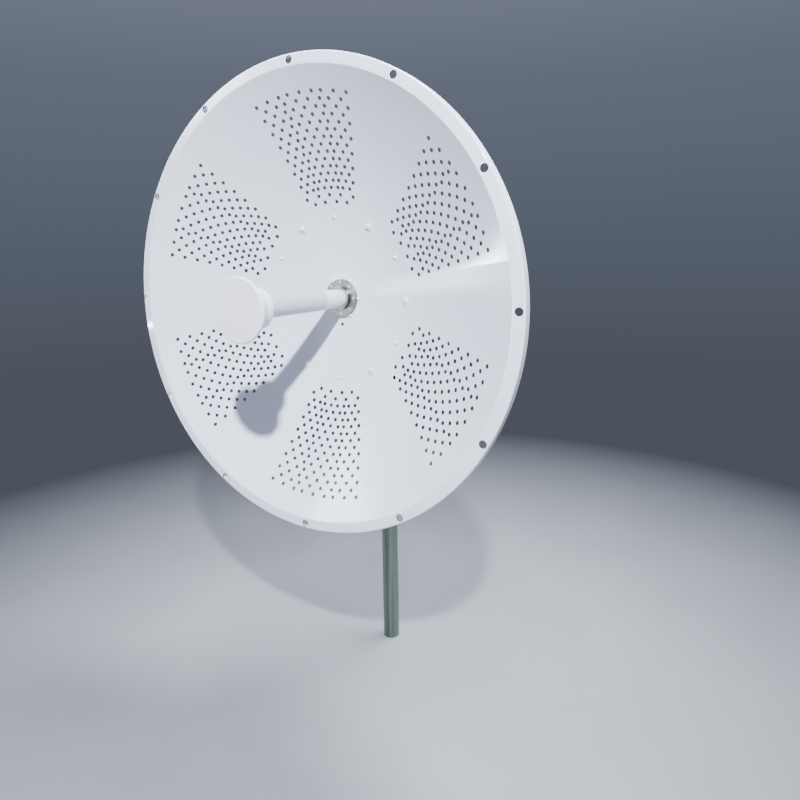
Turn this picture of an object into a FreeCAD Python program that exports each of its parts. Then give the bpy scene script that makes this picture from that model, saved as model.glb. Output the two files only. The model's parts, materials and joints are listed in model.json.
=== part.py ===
"""Perforated parabolic antenna on a steel mast, as separate pieces.

Row frame: +Z up, millimetres, origin at the centre of the mast's lower end.
The dish faces -Y.  Pieces of the dish and of the feed are drawn in the dish's own
frame (x to the right seen from the front, y up, z from the vertex towards the
feed) and are then set at the vertex by on_dish().
"""
import FreeCAD, Part
import Sketcher
import math
import os

Vector = FreeCAD.Vector
Rotation = FreeCAD.Rotation
Placement = FreeCAD.Placement

doc = FreeCAD.newDocument("dish_antenna")
sheet = doc.addObject("Spreadsheet::Sheet", "sizes")

SIZES = (
    ("mast_diameter", 38, "outside diameter of the mast tube"),
    ("mast_wall", 1.5, "wall of the mast tube"),
    ("mast_height", 960, "length of the mast tube"),
    ("dish_height", 850, "height of the dish axis above the mast's foot"),
    ("vertex_setback", 170, "mast axis to the vertex of the dish"),
    ("dish_diameter", 900, "diameter over the rolled rim"),
    ("rim_width", 21.4, "width of the flat rim"),
    ("rim_skirt", 18, "depth of the skirt folded back from the rim"),
    ("dish_depth", 145, "vertex to the flat rim"),
    ("sheet_thickness", 1.5, "thickness of the spun aluminium sheet"),
    ("seat_radius", 50, "radius of the flat seat pressed in the middle"),
    ("hub_hole", 48, "diameter of the hole in the middle of the dish"),
    ("rim_hole", 14, "diameter of the holes in the rim"),
    ("rim_circle", 878.5, "pitch circle of the holes in the rim"),
    ("rim_count", 12, "number of holes in the rim"),
    ("bolt_circle", 330, "pitch circle of the bolts and rivets to the back ring"),
    ("bolt_count", 6, "number of bolts to the back ring"),
    ("drain_hole", 7, "diameter of the drain hole under the hub"),
    ("drain_offset", 55, "dish axis to the drain hole"),
    ("perforation", 7.5, "diameter of the wind relief holes"),
    ("perforation_pitch", 14.2, "row pitch of the wind relief holes along the sheet"),
    ("perforation_outer", 387.8, "radius of the outermost row"),
    ("perforation_rows", 16, "rows in one patch"),
    ("tube_diameter", 38.1, "outside diameter of the feed tube"),
    ("tube_wall", 1.5, "wall of the feed tube"),
    ("running_gap", 0.05, "radial gap of the running fits"),
    ("sleeve_diameter", 40, "outside diameter of the plastic sleeve"),
    ("sleeve_start", 77, "vertex to the near end of the sleeve"),
    ("head_start", 249, "vertex to the back of the feed head"),
    ("head_front", 302.3, "vertex to the front face of the feed head"),
    ("lid_diameter", 115, "diameter of the feed head's lid"),
    ("lid_thickness", 5, "thickness of the lid"),
    ("flange_diameter", 79, "diameter of the hub flange"),
    ("flange_front", 6, "vertex to the front face of the hub flange"),
    ("collar_diameter", 48, "diameter of the hub collar"),
    ("collar_front", 13.4, "vertex to the front face of the hub collar"),
    ("housing_side", 52, "side of the square feed housing"),
    ("housing_front", -5, "vertex to the front of the feed housing"),
    ("housing_back", -57, "vertex to the back of the feed housing"),
    ("port_station", -33, "vertex to the axes of the two connectors"),
    ("ring_back", -33, "vertex to the back of the back ring"),
    ("ring_radius", 150, "outside radius of the back ring's wall"),
    ("steel", 3, "thickness of the back ring"),
    ("plate", 4, "thickness of the bracket plates"),
    ("plate_radius", 145, "radius of the back plate"),
    ("cheek_inside", 84, "mast axis to the inner face of a tilt cheek"),
    ("cheek_gap", 0.3, "gap between a tilt cheek and the mast bracket"),
    ("pivot_height", 815, "height of the elevation pivot"),
    ("pivot_forward", 62, "mast axis to the elevation pivot"),
    ("pivot_diameter", 10, "diameter of the pivot bolts"),
    ("lock_radius", 70, "pivot to the elevation lock bolts"),
    ("lock_diameter", 8, "diameter of the lock bolts and clamp bolts"),
    ("tilt_up", 30, "elevation range upwards, degrees"),
    ("tilt_down", 15, "elevation range downwards, degrees"),
    ("bracket_low", 793, "lower edge of the mast bracket"),
    ("bracket_high", 915, "upper edge of the mast bracket"),
    ("jaw_low", 808, "height of the lower clamp"),
    ("jaw_high", 892, "height of the upper clamp"),
    ("jaw_height", 30, "height of a clamp jaw"),
    ("jaw_width", 92, "width of a clamp jaw"),
    ("jaw_depth", 27, "mast axis to the outer face of a jaw"),
    ("jaw_split", 3, "mast axis to the inner face of a jaw"),
    ("clamp_bolt_offset", 34, "mast axis to the clamp bolts"),
    ("collar_top", 792.7, "top of the stop collar"),
    ("stop_height", 22, "height of the stop collar"),
    ("stop_radius", 30, "outside radius of the stop collar"),
)
for row, (alias, value, note) in enumerate(SIZES, 1):
    sheet.set("A%d" % row, note)
    sheet.set("B%d" % row, str(value))
    sheet.setAlias("B%d" % row, alias)
doc.recompute()

# Details that follow from standard fasteners and connectors rather than from the dish.
BOLT_HOLE, RIVET_HOLE = 9.0, 5.7        # diameters
DISH_BOLT, DISH_BOLT_HOLE = 6.0, 6.6
HUB_SCREWS, HUB_SCREW_RADIUS, HUB_SCREW = 6, 41.0, 4.0
HUB_SCREW_HEAD, HUB_NOTCH = 8.0, 8.8    # head, and the notch for it in the hub flange
FACE_SCREWS, FACE_SCREW_RADIUS, FACE_SCREW = 8, 32.5, 3.0
SCREW_PLAY = 0.4                        # a screw's hole over its diameter
HUB_PLATE, HUB_PLATE_RADIUS = 4.0, 51.0         # plate behind the hub: thickness, radius
RIM_BEND = 3.5                          # outside radius of the rolled rim
PATCHES = 6                             # patches of wind relief holes
RING_BOLTS = 135.0                      # radius of the bolts through ring and back plate
CHEEK_BOLT_X, CHEEK_BOLT_Z = 104.0, 35.0        # cheek bolts from the dish axis
PROBE_HOLE = 4.3                        # radius of the holes for the insulators
PORT_SCREW = 9.1                        # half the spacing of a connector's flange screws
PORT_FLANGE, PORT_RADIUS = 25.4, 7.94   # side of its flange and radius of its thread
REAR_SEAT = 18                          # mast axis to the seats of the clamp bolts' heads
DRILL = 30.0                            # length of a cutter that goes right through a plate

nodes = {}                              # label -> finished piece
counter = [0]


def value(expression):
    """The number that an expression over the sheet gives now."""
    result = sheet.evalExpression(str(expression))
    return float(getattr(result, "Value", result))


def bound(obj, **properties):
    """Bind properties to expressions over the sheet."""
    for name, expression in properties.items():
        obj.setExpression(name, str(expression))
    return obj


def new(kind, stem):
    counter[0] += 1
    return doc.addObject(kind, "%s_%d" % (stem, counter[0]))


def placed(obj, at=(0, 0, 0), turn=None):
    """Put an object at a point given by expressions, with a fixed rotation."""
    obj.Placement = Placement(Vector(*[value(e) for e in at]), turn or Rotation())
    for letter, expression in zip("xyz", at):
        obj.setExpression(".Placement.Base." + letter, str(expression))
    return obj


def on_dish(obj, turn=0):
    """Move a piece from the dish's frame to the row frame, turned about the dish axis."""
    forward = Rotation(Vector(1, 0, 0), 90)
    spin = Rotation(Vector(0, 0, 1), turn)
    return placed(obj, (0, "-sizes.vertex_setback", "sizes.dish_height"), forward.multiply(spin))


def node(label, obj):
    obj.Label = label
    nodes[label] = obj
    return obj


# ---- Part primitives and booleans -------------------------------------------------

AXIS_TURN = {
    "+x": Rotation(Vector(0, 1, 0), 90), "-x": Rotation(Vector(0, 1, 0), -90),
    "+y": Rotation(Vector(1, 0, 0), -90), "-y": Rotation(Vector(1, 0, 0), 90),
    "+z": Rotation(), "-z": Rotation(Vector(1, 0, 0), 180),
}


def rod(radius, length, at=(0, 0, 0), axis="+z", turn=None):
    """A cylinder that starts at a point and runs along an axis."""
    cylinder = bound(new("Part::Cylinder", "rod"), Radius=radius, Height=length)
    return placed(cylinder, at, turn or AXIS_TURN[axis])


def block(low, high):
    """A box between two corners given by expressions."""
    sides = ["(%s) - (%s)" % (h, l) for l, h in zip(low, high)]
    box = bound(new("Part::Box", "block"), Length=sides[0], Width=sides[1], Height=sides[2])
    return placed(box, low)


def hexagon(across, height, at=(0, 0, 0), axis="+z", turn=None):
    prism = bound(new("Part::Prism", "hexagon"), Circumradius="(%s) / sqrt(3)" % across,
                  Height=height)
    prism.Polygon = 6
    return placed(prism, at, turn or AXIS_TURN[axis])


def dome(radius, height, at=(0, 0, 0)):
    half = bound(new("Part::Ellipsoid", "dome"), Radius1=height, Radius2=radius, Radius3=radius)
    half.Angle1 = 0
    return placed(half, at)


def group(pieces):
    compound = new("Part::Compound", "group")
    compound.Links = pieces
    return compound


def fuse(pieces):
    joined = new("Part::MultiFuse", "fuse")
    joined.Shapes = pieces
    return joined


def cut(base, tools):
    result = new("Part::Cut", "cut")
    result.Base = base
    result.Tool = group(tools) if len(tools) > 1 else tools[0]
    return result


def around(count, radius, start=0):
    """Points on a circle in the dish's frame: (x expression, y expression, angle)."""
    for index in range(count):
        angle = start + 360 * index / count
        yield ("(%s) * cos(%g deg)" % (radius, angle), "(%s) * sin(%g deg)" % (radius, angle), angle)


# ---- PartDesign bodies -------------------------------------------------------------

def origin_plane(body, role):
    return next(feature for feature in body.Origin.OriginFeatures if feature.Role == role)


def outlined(body, role, outline):
    """A closed sketch through points given by expressions, fully constrained."""
    sketch = body.newObject("Sketcher::SketchObject", body.Name + "_outline")
    sketch.AttachmentSupport = [(origin_plane(body, role), "")]
    sketch.MapMode = "FlatFace"
    points = [Vector(value(across), value(up), 0) for across, up in outline]
    count = len(points)
    for index in range(count):
        sketch.addGeometry(Part.LineSegment(points[index], points[(index + 1) % count]))
    for index in range(count):
        following = (index + 1) % count
        sketch.addConstraint(Sketcher.Constraint("Coincident", index, 2, following, 1))
    for index, (across, up) in enumerate(outline):
        for kind, expression, axis in (("DistanceX", across, -2), ("DistanceY", up, -1)):
            amount = value(expression)
            if abs(amount) < 1e-9:
                sketch.addConstraint(Sketcher.Constraint("PointOnObject", index, 1, axis))
                continue
            number = sketch.addConstraint(Sketcher.Constraint(kind, -1, 1, index, 1, amount))
            sketch.setExpression("Constraints[%d]" % number, str(expression))
    return sketch


def turned(outline, stem="turned"):
    """A body turned about its own Z axis from (radius, height) expressions."""
    body = new("PartDesign::Body", stem)
    sketch = outlined(body, "XZ_Plane", outline)
    revolution = body.newObject("PartDesign::Revolution", body.Name + "_revolution")
    revolution.Profile = sketch
    revolution.ReferenceAxis = (sketch, ["V_Axis"])
    revolution.Angle = 360
    sketch.Visibility = False
    return body


def padded(outline, role, thickness, stem="padded"):
    """A plate padded from an outline drawn on one of the body's origin planes."""
    body = new("PartDesign::Body", stem)
    sketch = outlined(body, role, outline)
    pad = body.newObject("PartDesign::Pad", body.Name + "_pad")
    pad.Profile = sketch
    bound(pad, Length=thickness)
    return body


def rounded(body, edges_at, radius):
    """Round the circular edges of a turned body whose (radius, height) are given."""
    doc.recompute()
    tip = body.Tip
    wanted = [(value(r), value(z)) for r, z in edges_at]
    names = []
    for number, edge in enumerate(tip.Shape.Edges, 1):
        curve = edge.Curve
        if curve.TypeId != "Part::GeomCircle":
            continue
        for r, z in wanted:
            if abs(curve.Radius - r) < 1e-4 and abs(curve.Center.z - z) < 1e-4:
                names.append("Edge%d" % number)
    fillet = body.newObject("PartDesign::Fillet", body.Name + "_round%d" % len(body.Group))
    fillet.Base = (tip, names)
    bound(fillet, Radius=radius)
    body.Tip = fillet
    return body


# ---- Fasteners ---------------------------------------------------------------------

def screw(at, axis, kind, head, shank, turn=None):
    """A screw: head = (width, height), shank = (diameter, length); at is under the head."""
    width, height = head
    diameter, length = shank
    if kind == "hex":
        top = hexagon(width, height)
    elif kind in ("dome", "button"):
        top = dome("(%s) / 2" % width, height)
    else:
        top = rod("(%s) / 2" % width, height)
    if kind in ("socket", "button"):
        top = cut(top, [hexagon("(%s) * 0.45" % width, height, (0, 0, "(%s) * 0.4" % height))])
    stem = rod("(%s) / 2" % diameter, length, (0, 0, "-(%s)" % length))
    return placed(fuse([top, stem]), at, turn or AXIS_TURN[axis])


def grub(at, turn, diameter, length):
    """A headless set screw with a hexagon socket in its outer end."""
    body = rod("(%s) / 2" % diameter, length, (0, 0, "-(%s)" % length))
    socket = hexagon("(%s) * 0.5" % diameter, length, (0, 0, "-(%s) * 0.4" % length))
    return placed(cut(body, [socket]), at, turn)


def nut(at, axis, width, height, diameter, turn=None):
    """A hexagon nut whose seat is at a point; it stands out along the axis."""
    bore = rod("(%s) / 2 + sizes.running_gap" % diameter, height)
    return placed(cut(hexagon(width, height), [bore]), at, turn or AXIS_TURN[axis])


def washer(at, axis, width, height, diameter, turn=None):
    bore = rod("(%s) / 2 + sizes.running_gap" % diameter, height)
    return placed(cut(rod("(%s) / 2" % width, height), [bore]), at, turn or AXIS_TURN[axis])


# ---- Reflector ---------------------------------------------------------------------

class Paraboloid:
    """The dish's front surface, z = r * r / (4 F), drawn as narrow spherical bands.

    A band's sphere is centred on the dish axis and passes through the parabola at
    both ends of the band, so it leaves the parabola by about a hundredth of a
    millimetre.  The back of the sheet is the concentric sphere.
    """

    def __init__(self, radii):
        self.radii = list(radii)
        self.centres = []
        self.spheres = []
        for near, far in zip(self.radii, self.radii[1:]):
            near_z, far_z = depth(near), depth(far)
            rise = (far ** 2 + far_z ** 2) - (near ** 2 + near_z ** 2)
            centre = rise / (2 * (far_z - near_z))
            self.centres.append(centre)
            self.spheres.append(math.hypot(near, centre - near_z))

    def front(self):
        return [Vector(r, 0, depth(r)) for r in self.radii]

    def back(self, thickness):
        points = []
        for index, radius in enumerate(self.radii):
            point = Vector(radius, 0, depth(radius))
            band = min(index, len(self.centres) - 1)
            if 0 < index < len(self.centres):
                shift = (self.spheres[index - 1] - self.spheres[index])
                shift = shift / (self.centres[index] - self.centres[index - 1])
                height = depth(radius) + thickness * shift
                reach = self.spheres[index] + thickness
                across = math.sqrt(reach ** 2 - (self.centres[index] - height) ** 2)
                points.append(Vector(across, 0, height))
            else:
                inward = Vector(0, 0, self.centres[band]) - point
                points.append(point - inward.normalize() * thickness)
        return points

    def arc(self, start, end, band):
        centre = Vector(0, 0, self.centres[band])
        outward = ((start + end) * 0.5 - centre).normalize()
        middle = centre + outward * (start - centre).Length
        return Part.Arc(start, middle, end).toShape()


def focal_length():
    inner = size("dish_diameter") / 2 - size("rim_width")
    return inner ** 2 / (4 * size("dish_depth"))


def size(alias):
    return value("sizes." + alias)


def depth(radius):
    return radius ** 2 / (4 * focal_length())


def arc_length(radius):
    slope = radius / (2 * focal_length())
    return focal_length() * (slope * math.sqrt(1 + slope ** 2) + math.asinh(slope))


def radius_at(length):
    """The radius where the parabola's arc from the vertex has the given length."""
    low, high = 0.0, size("dish_diameter")
    for _ in range(50):
        middle = (low + high) / 2
        low, high = (middle, high) if arc_length(middle) < length else (low, middle)
    return low


def patch_columns(row):
    """Angles, in degrees from the middle of a patch, of the holes in one row."""
    step, tighter = 2.116, 1.06       # the gap beside the middle three columns is narrower
    steps = range(row % 2, 9, 2)
    if row == 14:
        steps = (0, 4, 8)
    if row == 15:
        steps = (2, 6)
    for index in steps:
        angle = step * index - (tighter if index >= 4 else 0)
        yield angle
        if index:
            yield -angle


def reflector():
    thickness = size("sheet_thickness")
    pitch = size("perforation_pitch")
    rows = int(size("perforation_rows"))
    outer_length = arc_length(size("perforation_outer"))
    edge = size("dish_diameter") / 2
    inner_edge = edge - size("rim_width")
    seat = size("seat_radius")
    perforated = [radius_at(outer_length + pitch * (0.5 - row)) for row in range(rows, -1, -1)]
    inner_bands, outer_bands = 8, 2
    radii = [seat + (perforated[0] - seat) * i / inner_bands for i in range(inner_bands)]
    radii += perforated
    radii += [perforated[-1] + (inner_edge - perforated[-1]) * (i + 1) / outer_bands
              for i in range(outer_bands)]
    surface = Paraboloid(radii)
    front, back = surface.front(), surface.back(thickness)
    edges = []
    for band in range(len(surface.centres)):
        edges.append(surface.arc(front[band], front[band + 1], band))
        edges.append(surface.arc(back[band], back[band + 1], band))
    edges += rolled_rim(front[-1], back[-1], edge, thickness)
    hub = size("hub_hole") / 2
    seat_z = depth(seat)
    seat_path = [front[0], Vector(hub, 0, seat_z), Vector(hub, 0, seat_z - thickness),
                 Vector(back[0].x, 0, seat_z - thickness), back[0]]
    edges += [Part.makeLine(a, b) for a, b in zip(seat_path, seat_path[1:])
              if (a - b).Length > 1e-6]
    profile = Part.Face(Part.Wire(Part.__sortEdges__(edges)))
    shell = profile.revolve(Vector(0, 0, 0), Vector(0, 0, 1), 360)
    return drilled(shell, surface, inner_bands)


def rolled_rim(front_end, back_end, edge, thickness):
    """Edges of the flat rim, its rolled corner and the skirt behind it."""
    level = size("dish_depth")
    low, flat_back = level - size("rim_skirt"), level - thickness
    across, bend_low = edge - RIM_BEND, level - RIM_BEND
    diagonal = Vector(1, 0, 1).normalize()
    corner = Vector(across, 0, bend_low)
    outside = [Vector(across, 0, level), corner + diagonal * RIM_BEND, Vector(edge, 0, bend_low)]
    inside = [Vector(edge - thickness, 0, bend_low), corner + diagonal * (RIM_BEND - thickness),
              Vector(across, 0, flat_back)]
    skirt = [outside[-1], Vector(edge, 0, low), Vector(edge - thickness, 0, low), inside[0]]
    under = [inside[-1], Vector(back_end.x + thickness / 2, 0, flat_back), back_end]
    lines = [[front_end, outside[0]], skirt, under]
    edges = [Part.makeLine(a, b) for path in lines for a, b in zip(path, path[1:])]
    return edges + [Part.Arc(*outside).toShape(), Part.Arc(*inside).toShape()]


def drilled(shell, surface, inner_bands):
    """The sheet with its rim, bolt, rivet, hub, drain and wind relief holes."""
    up = Vector(0, 0, 1)
    tools = []
    rim_circle, bolt_circle = size("rim_circle") / 2, size("bolt_circle") / 2
    rim_count, bolt_count = int(size("rim_count")), int(size("bolt_count"))

    def ring_of_holes(count, radius, level, diameter, start=0.0):
        for index in range(count):
            angle = math.radians(start + 360 * index / count)
            spot = Vector(radius * math.cos(angle), radius * math.sin(angle), level - DRILL / 2)
            tools.append(Part.makeCylinder(diameter / 2, DRILL, spot, up))

    ring_of_holes(rim_count, rim_circle, size("dish_depth"), size("rim_hole"))
    ring_of_holes(bolt_count, bolt_circle, depth(bolt_circle), DISH_BOLT_HOLE)
    ring_of_holes(bolt_count, bolt_circle, depth(bolt_circle), RIVET_HOLE, 180 / bolt_count)
    ring_of_holes(HUB_SCREWS, HUB_SCREW_RADIUS, 0.0, HUB_SCREW + SCREW_PLAY)
    ring_of_holes(FACE_SCREWS, FACE_SCREW_RADIUS, 0.0, FACE_SCREW + SCREW_PLAY)
    ring_of_holes(1, size("drain_offset"), 0.0, size("drain_hole"), -90)
    shell = shell.cut(tools)
    rows = int(size("perforation_rows"))
    outer_length = arc_length(size("perforation_outer"))
    drills = []
    reach = 2 * size("sheet_thickness")          # a drill starts this far off the sheet
    for row in range(rows):
        band = inner_bands + rows - 1 - row
        radius = radius_at(outer_length - size("perforation_pitch") * row)
        centre = Vector(0, 0, surface.centres[band])
        for patch in range(PATCHES):
            for column in patch_columns(row):
                angle = math.radians(360 / PATCHES * (patch + 0.5) + column)
                spot = Vector(radius * math.cos(angle), radius * math.sin(angle), depth(radius))
                outward = (spot - centre).normalize()
                start = centre + outward * (surface.spheres[band] - reach)
                drills.append(Part.makeCylinder(size("perforation") / 2, 3 * reach, start, outward))
    faces_before = len(shell.Faces)
    perforated = shell.cut(drills)
    if len(perforated.Faces) != faces_before + len(drills):
        raise RuntimeError("a wind relief hole is missing")
    return perforated.Solids[0]


sheet_metal = doc.addObject("Part::Feature", "reflector_sheet")
sheet_metal.Shape = reflector()
node("reflector", on_dish(sheet_metal))

# ---- Dish: hub, back ring, back plate and their fasteners -----------------------------

TUBE = "(sizes.tube_diameter / 2)"
TUBE_BORE = "(sizes.tube_diameter / 2 - sizes.tube_wall)"
TUBE_FIT = "(sizes.tube_diameter / 2 + sizes.running_gap)"
INNER_EDGE = "(sizes.dish_diameter / 2 - sizes.rim_width)"
SEAT = "(sizes.dish_depth * (sizes.seat_radius / %s) ^ 2)" % INNER_EDGE
SEAT_BACK = "(%s - sizes.sheet_thickness)" % SEAT
BOLT_SEAT = "(sizes.dish_depth * (sizes.bolt_circle / 2 / %s) ^ 2)" % INNER_EDGE
BOLT_TILT = math.degrees(math.atan(size("bolt_circle") / 2 / (2 * focal_length())))
RING_GAP = 0.4                      # dish to the front flange of the back ring
RING_CLEARANCE = size("sheet_thickness") / math.cos(math.radians(BOLT_TILT)) + RING_GAP - 0.1
RING_STACK = size("sheet_thickness") + RING_GAP + size("steel")
SET_SCREW_STATION = "sizes.collar_front - 3.6"


def normal_turn(angle):
    """Local +z along the dish's normal at the bolt circle, at an angle round the axis."""
    return Rotation(Vector(0, 0, 1), angle).multiply(Rotation(Vector(0, 1, 0), -BOLT_TILT))


def radial_turn(angle):
    return Rotation(Vector(0, 0, 1), angle).multiply(Rotation(Vector(0, 1, 0), 90))


def bolt_spots(start, lift=0.0):
    """Points just off the dish at the bolt circle, with the turn of each."""
    tilt = math.radians(BOLT_TILT)
    radius = "sizes.bolt_circle / 2 - %g" % (lift * math.sin(tilt))
    height = "%s + %g" % (BOLT_SEAT, lift * math.cos(tilt))
    for x, y, angle in around(int(size("bolt_count")), radius, start):
        yield (x, y, height), normal_turn(angle)


def hub_flange():
    flange = "sizes.flange_diameter / 2"
    collar = "sizes.collar_diameter / 2"
    spigot = "sizes.hub_hole / 2 - 0.5"
    body = turned([(TUBE_FIT, SEAT_BACK), (spigot, SEAT_BACK), (spigot, SEAT), (flange, SEAT),
                   (flange, "sizes.flange_front"), (collar, "sizes.flange_front"),
                   (collar, "sizes.collar_front"), (TUBE_FIT, "sizes.collar_front")], "hub")
    rounded(body, [(flange, "sizes.flange_front"), (collar, "sizes.collar_front")], 0.8)
    tools = []
    for x, y, angle in around(FACE_SCREWS, FACE_SCREW_RADIUS):
        tools.append(rod((FACE_SCREW + 0.2) / 2, 20, (x, y, -10)))
    for x, y, angle in around(HUB_SCREWS, HUB_SCREW_RADIUS):
        tools.append(rod(HUB_NOTCH / 2, 20, (x, y, -10)))
    for x, y, angle in around(4, 15, 45):
        tools.append(rod(2.05, 20, (x, y, SET_SCREW_STATION), turn=radial_turn(angle)))
    return on_dish(cut(body, tools))


def dish_pieces():
    node("hub_flange", hub_flange())
    face, sets, plate_screws, plate_nuts = [], [], [], []
    for x, y, angle in around(FACE_SCREWS, FACE_SCREW_RADIUS):
        face.append(screw((x, y, "sizes.flange_front"), "+z", "button", (5.7, 1.9),
                          (FACE_SCREW, 10.2)))
    for x, y, angle in around(4, "sizes.collar_diameter / 2 - 0.3", 45):
        sets.append(grub((x, y, SET_SCREW_STATION), radial_turn(angle), 4, 4.4))
    for x, y, angle in around(HUB_SCREWS, HUB_SCREW_RADIUS):
        plate_screws.append(screw((x, y, SEAT), "+z", "dome", (HUB_SCREW_HEAD, 2.8),
                                  (HUB_SCREW, 10.5)))
        plate_nuts.append(nut((x, y, "%s - %g" % (SEAT_BACK, HUB_PLATE)), "-z", 7, 3.2, HUB_SCREW))
    node("hub_face_screws", on_dish(group(face)))
    node("hub_set_screws", on_dish(group(sets)))
    node("hub_plate_screws", on_dish(group(plate_screws)))
    node("hub_plate_nuts", on_dish(group(plate_nuts)))
    back = "%s - %g" % (SEAT_BACK, HUB_PLATE)
    plate = turned([(20.5, back), (HUB_PLATE_RADIUS, back), (HUB_PLATE_RADIUS, SEAT_BACK),
                    (20.5, SEAT_BACK)], "hub_plate")
    tools = [rod((HUB_SCREW + 0.4) / 2, 20, (x, y, -12))
             for x, y, angle in around(HUB_SCREWS, HUB_SCREW_RADIUS)]
    tools += [rod((FACE_SCREW + 0.2) / 2, 20, (x, y, -12))
              for x, y, angle in around(FACE_SCREWS, FACE_SCREW_RADIUS)]
    node("hub_plate", on_dish(cut(plate, tools)))
    ring_pieces()


def ring_pieces():
    """The drum behind the dish, the back plate and what fastens them."""
    wall = "sizes.ring_radius"
    back = "sizes.ring_back"
    steel = "sizes.steel"
    flange, foot = 30, 30                # widths of the ring's front and back flanges
    touch = [depth(size("ring_radius") + reach) - RING_CLEARANCE for reach in (0, flange)]
    ring = turned([("%s - %s" % (wall, steel), touch[0] - 0.7), (wall, touch[0]),
                   ("%s + %g" % (wall, flange), touch[1]),
                   ("%s + %g" % (wall, flange), "%g - %s" % (touch[1], steel)),
                   (wall, "%g - %s" % (touch[0], steel)), (wall, back),
                   ("%s - %g" % (wall, foot), back),
                   ("%s - %g" % (wall, foot), "%s + %s" % (back, steel)),
                   ("%s - %s" % (wall, steel), "%s + %s" % (back, steel))], "ring")
    tools = [rod(DISH_BOLT_HOLE / 2, 20, spot, turn=turn) for spot, turn in bolt_spots(0, -14)]
    tools += [rod(RIVET_HOLE / 2, 20, spot, turn=turn) for spot, turn in bolt_spots(30, -14)]
    tools += [rod(BOLT_HOLE / 2, 30, (x, y, -45)) for x, y, angle in around(6, RING_BOLTS, 30)]
    node("back_ring", on_dish(cut(ring, tools)))

    rear = "%s - sizes.plate" % back
    plate = turned([(80, rear), ("sizes.plate_radius", rear), ("sizes.plate_radius", back),
                    (80, back)], "back_plate")
    tools = [rod(BOLT_HOLE / 2, 30, (x, y, -45)) for x, y, angle in around(6, RING_BOLTS, 30)]
    tools += [rod(BOLT_HOLE / 2, 30, (x, y, -45)) for x, y in cheek_bolt_spots()]
    node("back_plate", on_dish(cut(plate, tools)))

    bolts, washers, nuts, rivets = [], [], [], []
    under_ring = -(RING_STACK + 0.2)
    for (spot, turn), (seat, _) in zip(bolt_spots(0, 0.25), bolt_spots(0, under_ring)):
        washers.append(washer(spot, None, 17, 1.4, DISH_BOLT, turn=turn))
        downward = turn.multiply(Rotation(Vector(1, 0, 0), 180))
        nuts.append(nut(seat, None, 10, 5, DISH_BOLT, turn=downward))
    for spot, turn in bolt_spots(0, 1.7):
        bolts.append(screw(spot, None, "button", (10.5, 3.3), (DISH_BOLT, 14), turn=turn))
    for (spot, turn), (seat, _) in zip(bolt_spots(30, 0.2), bolt_spots(30, under_ring)):
        downward = turn.multiply(Rotation(Vector(1, 0, 0), 180))
        rivets.append(fuse([screw(spot, None, "dome", (9.5, 2.4), (5, RING_STACK + 0.4), turn=turn),
                            placed(dome(4, 2), seat, downward)]))
    node("dish_bolts", on_dish(group(bolts)))
    node("dish_washers", on_dish(group(washers)))
    node("dish_nuts", on_dish(group(nuts)))
    node("dish_rivets", on_dish(group(rivets)))

    inside = "%s + %s" % (back, steel)
    ring_bolts, ring_nuts, cheek_bolts, cheek_nuts = [], [], [], []
    for x, y, angle in around(6, RING_BOLTS, 30):
        ring_bolts.append(screw((x, y, inside), "+z", "hex", (13, 5.3), (8, 17)))
        ring_nuts.append(nut((x, y, rear), "-z", 13, 6.5, 8))
    for x, y in cheek_bolt_spots():
        cheek_bolts.append(screw((x, y, back), "+z", "hex", (13, 5.3), (8, 18)))
        cheek_nuts.append(nut((x, y, "%s - sizes.plate" % rear), "-z", 13, 6.5, 8))
    node("ring_bolts", on_dish(group(ring_bolts)))
    node("ring_nuts", on_dish(group(ring_nuts)))
    node("cheek_bolts", on_dish(group(cheek_bolts)))
    node("cheek_nuts", on_dish(group(cheek_nuts)))


def cheek_bolt_spots():
    return [(side * CHEEK_BOLT_X, level * CHEEK_BOLT_Z) for side in (-1, 1) for level in (-1, 1)]


# ---- Feed: tube, sleeve, head, rear housing and connectors ----------------------------

def feed_pieces():
    tube_back = "sizes.housing_front - 12"
    mouth = "sizes.head_start + 6"
    node("feed_tube", on_dish(turned([(TUBE_BORE, tube_back), (TUBE, tube_back), (TUBE, mouth),
                                      (TUBE_BORE, mouth)], "feed_tube")))
    sleeve_edge = "sizes.sleeve_diameter / 2"
    sleeve = turned([(TUBE_FIT, "sizes.sleeve_start"), (sleeve_edge, "sizes.sleeve_start"),
                     (sleeve_edge, "sizes.head_start"), (TUBE_FIT, "sizes.head_start")], "sleeve")
    node("feed_sleeve", on_dish(rounded(sleeve, [(sleeve_edge, "sizes.sleeve_start")], 0.5)))
    head_pieces()
    housing_pieces()


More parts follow.
